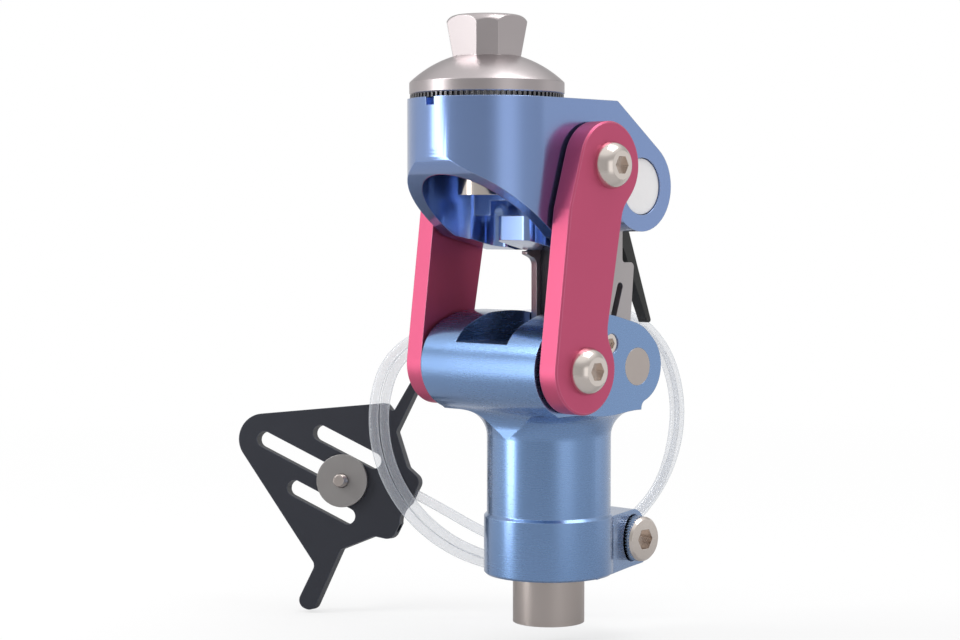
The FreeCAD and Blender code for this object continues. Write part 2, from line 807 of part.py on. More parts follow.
def cable_plate():
    """An arrowhead plate with two arms, three slots and two bosses for tube ends."""
    half = cable_plate_thickness / 2
    tip = (-cable_plate_length, 0)
    r = cable_plate_tip_radius
    upper = [side(tip, r, 180, r), side(tip, r, 180 + 59.7, 3.0), side((2.6, -36), 0, 187, 3.0),
             side((7.2, -44.2), 0, 275, 2.6), side((9.6, -30), 0, 5, 1.0),
             side((9.2, -21.8), 0, -37, 2.0), side((cable_boss_place[0], -cable_boss_place[1]), 3.4, -60, 3.0),
             side((cable_boss_place[0] + 3.2, 0), 0, 0, 3.0)]
    mirrored = []
    for index in reversed(range(1, len(upper) - 1)):
        p, angle, corner = upper[index]
        mirrored.append(((p[0], -p[1]), -angle, upper[index - 1][2] if index > 0 else r))
    first = upper[:-1] + [(upper[-1][0], upper[-1][1], upper[-2][2])]
    plate = flat_piece(first + mirrored, -half, half)
    for start, end, place in ((-30, 6, 0), (-14, 7, 9), (-14, 7, -9)):
        plate = plate.cut(cable_slot(start, end, place))
    for b in (-1, 1):
        hole = Part.makeCylinder(tube_radius + fit_gap, 12, Vector(cable_boss_place[0] - 5, b * cable_boss_place[1], 0),
                                 Vector(1, 0, 0))
        plate = plate.cut(hole)
    return on_plate(plate)


def cable_knob():
    half = cable_plate_thickness / 2 + 0.1
    disc = post(knob_radius, half, half + knob_thickness)
    return on_plate(disc.cut(post(knob_stud_radius + fit_gap, half - 1, half + knob_thickness + 1)))


def knob_stud():
    half = cable_plate_thickness / 2
    stud = post(knob_stud_radius, -half - knob_stud_back, half + knob_stud_front)
    nut = post(knob_stud_radius + 2.0, -half - 3.1, -half - 0.1)
    return on_plate(stud.fuse(nut).removeSplitter())


def tube_coil():
    """The two turns of tube as one ring of their outer shape, facing the viewer."""
    loop = sketch([
        side(coil_centre, coil_radius, 0, coil_corner),
        side(coil_top, 0, coil_top_lean, coil_corner),
        side(coil_centre, coil_radius, coil_left_lean, coil_radius),
        side(coil_centre, coil_radius, 270, coil_radius)],
        lambda right, up: facing(right, coil_depth, up))
    start = loop.OrderedVertexes[0].Point
    first = loop.OrderedEdges[0]
    heading = first.tangentAt(first.FirstParameter)
    section = Part.Wire([Part.Ellipse(Vector(0, 0, 0), coil_half_width, coil_half_depth).toShape()])
    outward = heading.cross(facing(0, 1, 0))
    section.Placement = FreeCAD.Placement(start, FreeCAD.Rotation(outward, facing(0, 1, 0), heading))
    return loop.makePipeShell([section], True, False)


def route_wire(points):
    """Straight runs joined by tangent arcs, each arc as large as its two runs allow."""
    places = [facing(*point) for point in points]
    edges = []
    radii = []
    last = places[0]
    for before, corner, after in zip(places, places[1:], places[2:]):
        way_in, way_out = corner - before, after - corner
        run = min(way_in.Length, way_out.Length)
        turn = way_in.getAngle(way_out)
        reach = 0.45 * run
        radius = reach / tan(turn / 2)
        radii.append(round(radius, 1))
        way_in.normalize()
        way_out.normalize()
        start, end = corner - way_in * reach, corner + way_out * reach
        inward = (way_out - way_in).normalize()
        middle = corner + inward * (radius / cos(turn / 2) - radius)
        edges.append(Part.LineSegment(last, start).toShape())
        edges.append(Part.Arc(start, middle, end).toShape())
        last = end
    edges.append(Part.LineSegment(last, places[-1]).toShape())
    print("bend radii", radii)
    return Part.Wire(edges)


def tube_run(points):
    wire = route_wire(points)
    start = facing(*points[0])
    section = Part.Wire([Part.makeCircle(tube_radius, start, facing(*points[1]) - start)])
    run = wire.makePipeShell([section], True, False)
    print("tube length", round(wire.Length, 1), "area", round(run.Volume / wire.Length, 3))
    return run


def build():
    shapes = {
        "lower_frame": lower_frame(),
        "pylon_stub": pylon_stub(),
        "clamp_screw": clamp_screw(),
        "side_screws": side_screws(),
        "lower_front_bushes": bushes(lower_front_pivot),
        "lower_rear_axle_ends": lower_axle_ends(),
        "tube_ferrule": ferrule(),
        "right_link": front_link(),
        "left_link": mirror_x(front_link()),
        "link_screws": link_screws(),
        "link_washers": link_washers(),
        "lower_front_axle": front_axle(lower_front_pivot),
        "upper_front_axle": front_axle(upper_front_pivot),
        "upper_frame": upper_frame(),
        "upper_front_bushes": bushes(upper_front_pivot),
        "pyramid_adapter": pyramid_adapter(),
        "serrated_ring": serrated_ring(),
        "pyramid_nut": pyramid_nut(),
        "upper_rear_axle": rear_axle(),
        "axle_caps": axle_caps(),
        "extension_bumper": extension_bumper(),
        "rear_plate_right": rear_plate(),
        "rear_plate_left": mirror_x(rear_plate()),
        "link_core": link_core(),
        "rear_bush": rear_bush(),
        "lower_rear_sleeve": rear_sleeve(),
        "link_rivets": link_rivets(),
        "lever_pin": lever_pin(),
        "release_lever": release_lever(),
        "cable_plate": cable_plate(),
        "cable_knob": cable_knob(),
        "knob_stud": knob_stud(),
        "tube_coil": tube_coil(),
        "tube_lead": tube_run(lead_route),
        "tube_tail": tube_run(tail_route),
    }
    os.makedirs("parts", exist_ok=True)
    for name, shape in shapes.items():
        if not shape.isValid():
            print("invalid shape:", name)
        shape.exportStep("parts/" + name + ".step")
        print(name, len(shape.Solids), round(shape.Volume, 1))


build()
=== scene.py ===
import json
import math
import bmesh
import bpy
from mathutils import Matrix, Vector

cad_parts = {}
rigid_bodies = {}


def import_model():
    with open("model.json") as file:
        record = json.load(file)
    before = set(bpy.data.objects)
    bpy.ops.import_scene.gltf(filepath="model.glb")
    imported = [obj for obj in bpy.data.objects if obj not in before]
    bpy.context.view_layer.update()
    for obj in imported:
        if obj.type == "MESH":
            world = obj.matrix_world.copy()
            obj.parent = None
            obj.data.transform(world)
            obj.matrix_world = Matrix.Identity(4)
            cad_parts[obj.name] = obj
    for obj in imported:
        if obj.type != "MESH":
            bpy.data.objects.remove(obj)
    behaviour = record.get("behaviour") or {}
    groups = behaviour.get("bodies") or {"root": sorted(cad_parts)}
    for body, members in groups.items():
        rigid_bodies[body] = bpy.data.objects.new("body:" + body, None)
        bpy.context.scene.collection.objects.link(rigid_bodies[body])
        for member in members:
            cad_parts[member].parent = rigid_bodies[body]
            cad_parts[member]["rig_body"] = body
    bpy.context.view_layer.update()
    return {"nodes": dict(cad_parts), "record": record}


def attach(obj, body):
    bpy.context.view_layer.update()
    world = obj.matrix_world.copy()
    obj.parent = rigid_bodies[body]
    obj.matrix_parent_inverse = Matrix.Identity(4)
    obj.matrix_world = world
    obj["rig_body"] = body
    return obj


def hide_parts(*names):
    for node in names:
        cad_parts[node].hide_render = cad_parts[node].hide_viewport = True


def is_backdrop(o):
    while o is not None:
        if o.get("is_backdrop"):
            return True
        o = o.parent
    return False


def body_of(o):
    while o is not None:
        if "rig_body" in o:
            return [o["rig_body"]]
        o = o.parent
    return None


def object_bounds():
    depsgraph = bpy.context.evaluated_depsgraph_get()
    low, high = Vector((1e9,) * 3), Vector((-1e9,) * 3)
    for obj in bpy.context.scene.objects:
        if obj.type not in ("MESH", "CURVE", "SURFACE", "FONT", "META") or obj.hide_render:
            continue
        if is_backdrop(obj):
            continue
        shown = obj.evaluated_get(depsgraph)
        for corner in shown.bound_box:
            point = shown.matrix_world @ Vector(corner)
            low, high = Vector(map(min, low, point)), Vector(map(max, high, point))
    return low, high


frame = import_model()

mm = 0.001
cameraPlace = {"azimuth": 44.5, "elevation": 2.7, "distance": 0.640, "lens": 78.5, "sensor": 36,
               "nearest": 0.01, "target": (-0.01505, -0.01479, 0.0926)}


# sockets: an expression on values adds its Math nodes
class Sock:
    def __init__(self, maker, socket):
        self.maker = maker
        self.socket = socket

    def math(self, operation, other=None, swap=False):
        values = [self] if other is None else ([other, self] if swap else [self, other])
        return self.maker.node("ShaderNodeMath", {"operation": operation}, values)

    def __add__(self, other): return self.math("ADD", other)
    def __radd__(self, other): return self.math("ADD", other, True)
    def __sub__(self, other): return self.math("SUBTRACT", other)
    def __rsub__(self, other): return self.math("SUBTRACT", other, True)
    def __mul__(self, other): return self.math("MULTIPLY", other)
    def __rmul__(self, other): return self.math("MULTIPLY", other, True)
    def __truediv__(self, other): return self.math("DIVIDE", other)
    def power(self, other): return self.math("POWER", other)

    def clamp(self):
        return self.maker.node("ShaderNodeClamp", {}, [self])

    def part(self, name):
        return Sock(self.maker, self.socket.node.outputs[name])


class Maker:
    def __init__(self, name, tree=None):
        if tree is None:
            self.material = bpy.data.materials.new(name)
            self.material.use_nodes = True
            tree = self.material.node_tree
        self.tree = tree
        self.tree.nodes.clear()

    def node(self, kind, settings=None, values=()):
        made = self.tree.nodes.new(kind)
        for key, value in (settings or {}).items():
            if key == "stops":
                self.setStops(made, value)
            else:
                setattr(made, key, value)
        pairs = values.items() if isinstance(values, dict) else enumerate(values)
        for key, value in pairs:
            if isinstance(value, Sock):
                self.tree.links.new(value.socket, made.inputs[key])
            elif value is not None:
                made.inputs[key].default_value = value
        return Sock(self, made.outputs[0]) if made.outputs else made

    def setStops(self, ramp, stops):
        elements = ramp.color_ramp.elements
        while len(elements) < len(stops):
            elements.new(0.5)
        for element, (place, colour) in zip(elements, stops):
            element.position = place
            element.color = colour if len(colour) == 4 else (*colour, 1)

    def mix(self, factor, first, second):
        made = self.node("ShaderNodeMix", {"data_type": "RGBA"}, {0: factor, 6: first, 7: second})
        return Sock(self, made.socket.node.outputs[2])

    def place(self, scale=(1, 1, 1)):
        coords = self.node("ShaderNodeTexCoord").part("Object")
        return self.node("ShaderNodeMapping", {}, {"Vector": coords, "Scale": scale})

    def noise(self, place, scale, detail=3.0, rough=0.5):
        return self.node("ShaderNodeTexNoise", {},
                         {"Vector": place, "Scale": scale, "Detail": detail, "Roughness": rough})

    # a noise about its middle value, as wide as span
    def swing(self, noise, span):
        return (noise - 0.5) * span

    # the surface's normal, as if its edges were rounded by the radius
    def softNormal(self, radius):
        return self.node("ShaderNodeBevel", {"samples": 6}, {"Radius": radius})

    # 0 on flat stretches, rising to 1 at an edge
    def edges(self, radius, gain=6.0):
        rounded = self.softNormal(radius)
        plain = self.node("ShaderNodeNewGeometry").part("Normal")
        likeness = self.node("ShaderNodeVectorMath", {"operation": "DOT_PRODUCT"}, [rounded, plain])
        return ((1 - likeness.part("Value")) * gain).clamp()

    def surface(self, fixed, values):
        shader = self.node("ShaderNodeBsdfPrincipled", {}, {**fixed, **values})
        self.node("ShaderNodeOutputMaterial", {}, [shader])
        return self.material


# what the finishes share where they say nothing else; lengths in metres
finishBase = {"wearAndShadeShare": 0.4, "grain": (1, 1, 1), "roughSpan": 0.06, "metal": 1.0, "coat": 0.0,
              "edge": 0.0004, "round": 0.0002, "lineDetail": 2.0, "lineRough": 0.6, "bumpDepth": 0.0002,
              "coatRough": 0.12}


# metal or paint with fine tool lines, a little cloud in its gloss, and worn edges; the cap's are painted
# shade
def metalFinish(name, look):
    m = Maker(name)
    lines = m.noise(m.place(look["grain"]), look["grainScale"], look["lineDetail"], look["lineRough"])
    cloud = m.noise(m.place(), look["cloudScale"])
    tone = m.mix(cloud, (*look["colour"], 1), (*look["shade"], 1))
    # edge tone: wear on most finishes, painted shade round the white cap's rim
    tone = m.mix(m.edges(look["edge"]) * look["wearAndShadeShare"], tone, (*look["wornAndShadedTone"], 1))
    rough = look["rough"] + m.swing(cloud, look["roughSpan"]) + m.swing(lines, look["lineSpan"])
    bump = m.node("ShaderNodeBump", {}, {"Strength": look["bump"], "Distance": look["bumpDepth"],
                                         "Height": lines, "Normal": m.softNormal(look["round"])})
    fixed = {"Metallic": look["metal"], "Coat Weight": look["coat"], "Coat Roughness": look["coatRough"]}
    return m.surface(fixed, {"Base Color": tone, "Roughness": rough, "Normal": bump})


finishes = {
    "blue_anodised": {
        "colour": (0.215, 0.33, 0.63), "shade": (0.235, 0.35, 0.65), "wornAndShadedTone": (0.46, 0.56, 0.82),
        "wearAndShadeShare": 0.45, "grain": (1, 1, 9), "grainScale": 240, "cloudScale": 45, "rough": 0.235,
        "lineSpan": 0.06, "bump": 0.018, "metal": 0.95, "coat": 0.9, "edge": 0.0006,
        "round": 0.00035},
    # a darker copy of the blue anodised for the lower frame: painted shade
    "blue_anodised_painted_shade": {
        "colour": (0.19, 0.33, 0.60), "shade": (0.205, 0.35, 0.63), "wornAndShadedTone": (0.44, 0.57, 0.82),
        "wearAndShadeShare": 0.45, "grain": (1, 1, 9), "grainScale": 240, "cloudScale": 45, "rough": 0.27,
        "lineSpan": 0.06, "bump": 0.01, "metal": 0.95, "coat": 0.9, "edge": 0.0006,
        "round": 0.0004},
    "pink_anodised": {
        "colour": (0.60, 0.098, 0.20), "shade": (0.63, 0.108, 0.215), "wornAndShadedTone": (0.85, 0.36, 0.52),
        "wearAndShadeShare": 0.55, "grainScale": 2600, "cloudScale": 40, "rough": 0.40, "lineSpan": 0.08,
        "bump": 0.035, "metal": 0.80, "edge": 0.0006, "round": 0.0003},
    "polished_steel": {
        "colour": (0.72, 0.65, 0.60), "shade": (0.78, 0.71, 0.66), "wornAndShadedTone": (0.92, 0.87, 0.82),
        "grain": (1, 1, 14), "grainScale": 420, "cloudScale": 90, "rough": 0.16,
        "roughSpan": 0.05, "lineSpan": 0.08, "bump": 0.025},
    # the serrated ring's steel made nearly black: painted shadow of the narrow gap under the dome; its
    # edges turn lighter
    "ring_painted_shadow": {
        "colour": (0.10, 0.10, 0.11), "shade": (0.14, 0.14, 0.15), "wornAndShadedTone": (0.60, 0.58, 0.58),
        "wearAndShadeShare": 0.7, "grain": (1, 1, 8), "grainScale": 420, "cloudScale": 90, "rough": 0.34,
        "lineSpan": 0.08, "bump": 0.03, "metal": 0.9, "edge": 0.0003, "round": 0.0001},
    "satin_steel": {
        "colour": (0.47, 0.425, 0.43), "shade": (0.54, 0.495, 0.50), "wornAndShadedTone": (0.80, 0.77, 0.75),
        "grain": (1, 1, 30), "grainScale": 300, "cloudScale": 60, "rough": 0.33, "lineSpan": 0.06,
        "bump": 0.008},
    "turned_steel": {
        "colour": (0.52, 0.46, 0.43), "shade": (0.57, 0.51, 0.48), "wornAndShadedTone": (0.76, 0.72, 0.69),
        "grain": (1, 1, 22), "grainScale": 420, "cloudScale": 50, "rough": 0.32, "lineSpan": 0.14,
        "bump": 0.04},
    "plate_steel": {
        "colour": (0.50, 0.465, 0.47), "shade": (0.53, 0.50, 0.50), "wornAndShadedTone": (0.72, 0.70, 0.70),
        "wearAndShadeShare": 0.5, "grain": (1, 8, 1), "grainScale": 420, "cloudScale": 70, "rough": 0.42,
        "lineSpan": 0.10, "bump": 0.03, "metal": 0.85},
    "black_anodised": {
        "colour": (0.016, 0.018, 0.028), "shade": (0.020, 0.023, 0.034), "wornAndShadedTone": (0.15, 0.17, 0.22),
        "grainScale": 2400, "cloudScale": 60, "rough": 0.45, "roughSpan": 0.08, "lineSpan": 0.10,
        "bump": 0.04, "metal": 0.0, "edge": 0.0005, "round": 0.0003},
    "black_plastic": {
        "colour": (0.018, 0.019, 0.019), "shade": (0.024, 0.025, 0.024), "wornAndShadedTone": (0.09, 0.09, 0.09),
        "wearAndShadeShare": 0.3, "grainScale": 1800, "cloudScale": 80, "rough": 0.5, "roughSpan": 0.08,
        "lineSpan": 0.12, "bump": 0.08, "metal": 0.0, "round": 0.0003},
    "grey_aluminium": {
        "colour": (0.33, 0.315, 0.31), "shade": (0.38, 0.365, 0.36), "wornAndShadedTone": (0.62, 0.61, 0.60),
        "wearAndShadeShare": 0.5, "grainScale": 1500, "cloudScale": 120, "rough": 0.42, "roughSpan": 0.08,
        "lineSpan": 0.12, "bump": 0.06, "metal": 0.85, "edge": 0.0003},
    "bronze": {
        "colour": (0.42, 0.25, 0.10), "shade": (0.47, 0.29, 0.13), "wornAndShadedTone": (0.75, 0.56, 0.33),
        "grain": (12, 1, 1), "grainScale": 300, "cloudScale": 90, "rough": 0.36,
        "roughSpan": 0.08, "lineSpan": 0.10, "bump": 0.04},
    "bumper_rubber": {
        "colour": (0.018, 0.018, 0.018), "shade": (0.03, 0.03, 0.03), "wornAndShadedTone": (0.08, 0.08, 0.08),
        "wearAndShadeShare": 0.3, "grainScale": 1500, "cloudScale": 90, "rough": 0.7, "roughSpan": 0.10,
        "lineSpan": 0.10, "bump": 0.12, "metal": 0.0, "round": 0.0003},
    # white axle cap; its much darker edges are painted shade, a grey ring round the rim
    "cap_white": {
        "colour": (0.86, 0.86, 0.87), "shade": (0.92, 0.92, 0.92), "wornAndShadedTone": (0.42, 0.42, 0.43),
        "wearAndShadeShare": 0.9, "grainScale": 900, "cloudScale": 60, "rough": 0.30, "roughSpan": 0.04,
        "lineSpan": 0.04, "bump": 0.01, "metal": 0.0, "coat": 0.3, "edge": 0.0005,
        "round": 0.0003},
}


hoseLook = {"rimPower": 2.6, "thin": 0.26, "thick": 0.66, "alphaSpan": 0.04, "hazeScale": 120,
            "middle": (0.74, 0.77, 0.82, 1), "rim": (0.66, 0.69, 0.74, 1), "rough": 0.10,
            "roughSpan": 0.06, "index": 1.5, "shine": 0.9}


# clear hose: see-through in the middle, milky grey and glossy towards its edges
def clearTube(look):
    m = Maker("clear_tube")
    rim = m.node("ShaderNodeLayerWeight", {}, {"Blend": 0.5}).part("Facing").power(look["rimPower"])
    haze = m.noise(m.place(), look["hazeScale"])
    alpha = (look["thin"] + rim * look["thick"] + m.swing(haze, look["alphaSpan"])).clamp()
    tone = m.mix(rim, look["middle"], look["rim"])
    rough = look["rough"] + m.swing(haze, look["roughSpan"])
    return m.surface({"IOR": look["index"], "Specular IOR Level": look["shine"]},
                     {"Base Color": tone, "Roughness": rough, "Alpha": alpha})


materials = {name: metalFinish(name, {**finishBase, **look}) for name, look in finishes.items()}
materials["clear_tube"] = clearTube(hoseLook)
print("materials made:", len(materials))

# a solid takes the finish that its slot is named after, and a few take one of their own
slotOf = {row["node"]: row["material_slot"] for row in frame["record"]["subparts"]}
finishOf = {**slotOf, "lower_frame": "blue_anodised_painted_shade", "axle_caps": "cap_white", "serrated_ring": "ring_painted_shadow",
            "pyramid_adapter": "satin_steel"}
for nodeName, solid in frame["nodes"].items():
    solid.data.materials.clear()
    solid.data.materials.append(materials[finishOf[nodeName]])
print("finishes given to", len(finishOf), "solids")

# how far cutters run past a form, through a thin piece and through a wide one, in millimetres
over, past, through = 1, 9, 30


# outline through (a, b, radius) corners in millimetres, with a point each step degrees;
# a corner under the sharpest radius stays one point, and points nearer than nearest fall together
def rounded(corners, step=7, sharpest=0.05, nearest=0.02):
    points = []
    for i, (a, b, radius) in enumerate(corners):
        here = Vector((a, b))
        before = (Vector(corners[i - 1][:2]) - here).normalized()
        after = (Vector(corners[(i + 1) % len(corners)][:2]) - here).normalized()
        turn = math.pi - before.angle(after)
        if radius < sharpest:
            points.append(here)
            continue
        start = here + before * radius * math.tan(turn / 2)
        centre = here + (before + after).normalized() * radius / math.cos(turn / 2)
        hand = 1 if before.x * after.y < before.y * after.x else -1
        count = max(2, round(math.degrees(turn) / step))
        for k in range(count + 1):
            arm = start - centre
            arm.rotate(Matrix.Rotation(hand * turn * k / count, 2))
            points.append(centre + arm)
    return [p for i, p in enumerate(points) if (p - points[i - 1]).length > nearest]


# count + 1 points round (a, b), from the start angle on; both angles in radians
def arc(radius, a, b, start, turn, count):
    ways = [start + turn * i / count for i in range(count + 1)]
    return [(a + radius * math.cos(w), b + radius * math.sin(w)) for w in ways]


def circle(radius, a=0, b=0, count=72):
    return arc(radius, a, b, 0, 2 * math.pi, count)[:-1]


# how an outline lies: in the side view, in plan, or on the tilted cable plate
def sideView(a, b, h):
    return Vector((h, a, b)) * mm


def planView(a, b, h):
    return Vector((a, b, h)) * mm


plateFrame = {
    "origin": (-88.75, -5.2, 36.0), "along": (0.8017, 0.4249, -0.4204),
    "up": (0.3104, 0.3049, 0.9003), "out": (0.5108, -0.8523, 0.1126),
}


def onPlate(a, b, h):
    origin, along, up, out = (Vector(plateFrame[key]) for key in ("origin", "along", "up", "out"))
    return (origin + along * a + up * b + out * h) * mm


def newPiece(name, verts, faces):
    mesh = bpy.data.meshes.new(name)
    build = bmesh.new()
    made = [build.verts.new(v) for v in verts]
    for face in faces:
        build.faces.new([made[i] for i in face])
    bmesh.ops.recalc_face_normals(build, faces=build.faces)
    build.to_mesh(mesh)
    build.free()
    piece = bpy.data.objects.new(name, mesh)
    bpy.context.scene.collection.objects.link(piece)
    return piece


# a closed form between two outlines that have the same number of points
def loft(lower, upper, low, high, lift):
    n = len(lower)
    verts = [lift(*p, low) for p in lower] + [lift(*p, high) for p in upper]
    faces = [tuple(range(n)), tuple(range(n, 2 * n))]
    faces += [(i, (i + 1) % n, n + (i + 1) % n, n + i) for i in range(n)]
    return newPiece("tool", verts, faces)


def prism(outline, low, high, lift):
    return loft(outline, outline, low, high, lift)


def block(low, high):
    (left, front, base), (right, back, top) = low, high
    return prism([(left, front), (right, front), (right, back), (left, back)], base, top, planView)


# a turned form from (radius, height) points about an upright axis; both ends lie on the axis
def turned(profile, a, b, count):
    rows = profile[1:-1]
    verts = [planView(*p, h) for r, h in rows for p in circle(r, a, b, count)]
    verts += [planView(a, b, h) for r, h in (profile[0], profile[-1])]
    first, last, top = len(verts) - 2, len(verts) - 1, (len(rows) - 1) * count
    faces = []
    for i in range(count):
        j = (i + 1) % count
        faces += [(first, i, j), (last, top + i, top + j)]
        faces += [(k + i, k + j, k + count + j, k + count + i) for k in range(0, top, count)]
    return newPiece("turned", verts, faces)


def applied(piece):
    graph = bpy.context.evaluated_depsgraph_get()
    mesh = bpy.data.meshes.new_from_object(piece.evaluated_get(graph))
    piece.modifiers.clear()
    piece.data = mesh


def combine(piece, operation, tools):
    for tool in tools:
        step = piece.modifiers.new("step", "BOOLEAN")
        step.operation = operation
        step.solver = "EXACT"
        step.object = tool
        applied(piece)
        bpy.data.objects.remove(tool)


# edges chamfered by width millimetres, faces smooth, edges above the angle crisp; then the piece takes
# its nodes' place
def finishPiece(piece, nodes, name, width=0.0, angle=32):
    if width:
        step = piece.modifiers.new("step", "BEVEL")
        step.width = width * mm
        step.segments = 2
        step.limit_method = "ANGLE"
        step.angle_limit = math.radians(angle)
        step.use_clamp_overlap = True
        applied(piece)
    piece.name = name
    piece.data.materials.clear()
    piece.data.materials.append(materials[finishOf[nodes[0]]])
    piece.data.polygons.foreach_set("material_index", [0] * len(piece.data.polygons))
    piece.data.polygons.foreach_set("use_smooth", [True] * len(piece.data.polygons))
    piece.data.set_sharp_from_angle(angle=math.radians(angle))
    even = piece.modifiers.new("even", "WEIGHTED_NORMAL")
    even.keep_sharp = True
    even.weight = 100
    applied(piece)
    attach(piece, body_of(frame["nodes"][nodes[0]])[0])
    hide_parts(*nodes)
    print(name, "made,", len(piece.data.polygons), "faces")


# one mesh from two pieces, moved to its place on the object
def joined(piece, extra, matrix):
    build = bmesh.new()
    build.from_mesh(piece.data)
    build.from_mesh(extra.data)
    bmesh.ops.transform(build, matrix=matrix, verts=build.verts)
    build.to_mesh(piece.data)
    build.free()
    bpy.data.objects.remove(extra)


# the plan outline of a tooth or rib on a rim, its half widths given as shares of the pitch
def toothOutline(root, tip, pitch, t):
    wide, narrow = t["rootShare"] * pitch, t["tipShare"] * pitch
    return [(root, -wide), (tip, -narrow), (tip, narrow), (root, wide)]


# copies of one piece turned about the piece's own Z, as plain mesh
def repeatRound(piece, count, material):
    tree = bpy.data.node_groups.new("repeatRound", "GeometryNodeTree")
    tree.interface.new_socket("Geometry", in_out="OUTPUT", socket_type="NodeSocketGeometry")
    amount, finish, form = (
        tree.interface.new_socket(label, in_out="INPUT", socket_type="NodeSocket" + kind).identifier
        for label, kind in (("Count", "Int"), ("Finish", "Material"), ("Form", "Object")))
    m = Maker("repeatRound", tree)
    given = m.node("NodeGroupInput")
    points = m.node("GeometryNodePoints", {}, [given.part("Count")])
    angle = m.node("GeometryNodeInputIndex") * (2 * math.pi) / given.part("Count")
    turn = m.node("ShaderNodeCombineXYZ", {}, {"Z": angle})
    shape = m.node("GeometryNodeObjectInfo", {}, [given.part("Form")]).part("Geometry")
    spread = m.node("GeometryNodeInstanceOnPoints", {},
                    {"Points": points, "Instance": shape, "Rotation": turn})
    plain = m.node("GeometryNodeRealizeInstances", {}, [spread])
    dressed = m.node("GeometryNodeSetMaterial", {}, {"Geometry": plain, "Material": given.part("Finish")})
    m.node("NodeGroupOutput", {}, [dressed])
    host = newPiece("repeat", [], [])
    step = host.modifiers.new("step", "NODES")
    step.node_group = tree
    step[amount], step[finish], step[form] = count, material, piece
    applied(host)
    bpy.data.objects.remove(piece)
    return host


# a place across the viewer's sight, towards the viewer, and up
def facing(right, near, up):
    turn = math.radians(cameraPlace["azimuth"])
    x, y = math.cos(turn), math.sin(turn)
    return Vector((right * x + near * y, right * y - near * x, up)) * mm


tube = {
    "radius": 1.6, "centre": (-4.8, 59.1), "depth": -46.4, "loopRadius": 49.2,
    "topHeight": 32.4, "topLean": 97, "flatFrom": 0.05, "flatness": 8,
    "pointsPerTurn": 22, "startAngle": -6, "turned": 622, "spread": 2.2, "spreadSway": 0.35,
    "wave": 0.5, "waveAngle": 40, "fan": 1.1, "fanRate": 1.5, "fanAngle": 20,
    "lead": [(-44.3, -52.7, 33.1), (-35.6, -50.1, 28.9), (-19.8, -45.6, 20.3), (-6.3, -42.4, 15.7),
             (6.8, -41.9, 14.7), (20.0, -41.9, 19.3), (30.9, -42.0, 27.6), (38.8, -42.9, 38.2)],
    "tail": [(-11.6, -46.6, 9.6), (-6.4, -46.6, 12.4), (-2.2, -46.5, 17.0), (0, -46.4, 22.6),
             (0, -46.4, 29.6), (0, -46.4, 36.4), (0, -44.1, 42.0), (0, -39.9, 46.2), (0, -34.4, 48.5),
             (0, -24.0, 48.5)],
}


# a point of the loop with its flattened top; share runs from 0 at the lead to 1 at the tail
def loopPoint(t, share):
    angle = t["startAngle"] + t["turned"] * share
    way = math.radians(angle)
    lean = math.cos(math.radians(angle - t["topLean"]))
    reach = t["loopRadius"]
    if lean > t["flatFrom"]:
        power = t["flatness"]
        reach = (t["loopRadius"] ** -power + (t["topHeight"] / lean) ** -power) ** (-1 / power)
    side = (share - 0.5) * 2 * (1 - t["spreadSway"] * math.cos(way))
    reach += side * t["spread"] + t["wave"] * math.sin(math.radians(angle * 2 + t["waveAngle"]))
    near = t["depth"] + t["fan"] * math.sin(math.radians(angle * t["fanRate"] + t["fanAngle"]))
    return facing(t["centre"][0] + reach * math.cos(way), near, t["centre"][1] + reach * math.sin(way))


def cableTube(t):
    points = [facing(*p) for p in t["lead"]]
    count = round(t["turned"] / 360 * t["pointsPerTurn"])
    points += [loopPoint(t, i / count) for i in range(count + 1)]
    points += [facing(*p) for p in t["tail"]]
    curve = bpy.data.curves.new("cableTube", "CURVE")
    curve.dimensions = "3D"
    curve.bevel_depth = t["radius"] * mm
    curve.bevel_resolution = 5
    curve.resolution_u = 10
    curve.use_fill_caps = True
    spline = curve.splines.new("NURBS")
    spline.points.add(len(points) - 1)
    for point, place in zip(spline.points, points):
        point.co = (*place, 1)
    spline.order_u = 3
    spline.use_endpoint_u = True
    hose = bpy.data.objects.new("cableTube", curve)
    bpy.context.scene.collection.objects.link(hose)
    curve.materials.append(materials["clear_tube"])
    return hose, points


def curveLength(piece):
    plain = piece.data.copy()
    plain.bevel_depth = 0
    probe = bpy.data.objects.new("probe", plain)
    mesh = bpy.data.meshes.new_from_object(probe)
    places = [v.co.copy() for v in mesh.vertices]
    bpy.data.objects.remove(probe)
    return sum((b - a).length for a, b in zip(places, places[1:]))


hose, hosePoints = cableTube(tube)
hoseLength = curveLength(hose)
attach(hose, "lower_frame")
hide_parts("tube_coil", "tube_lead", "tube_tail")
print("tube made, length", round(hoseLength, 3))

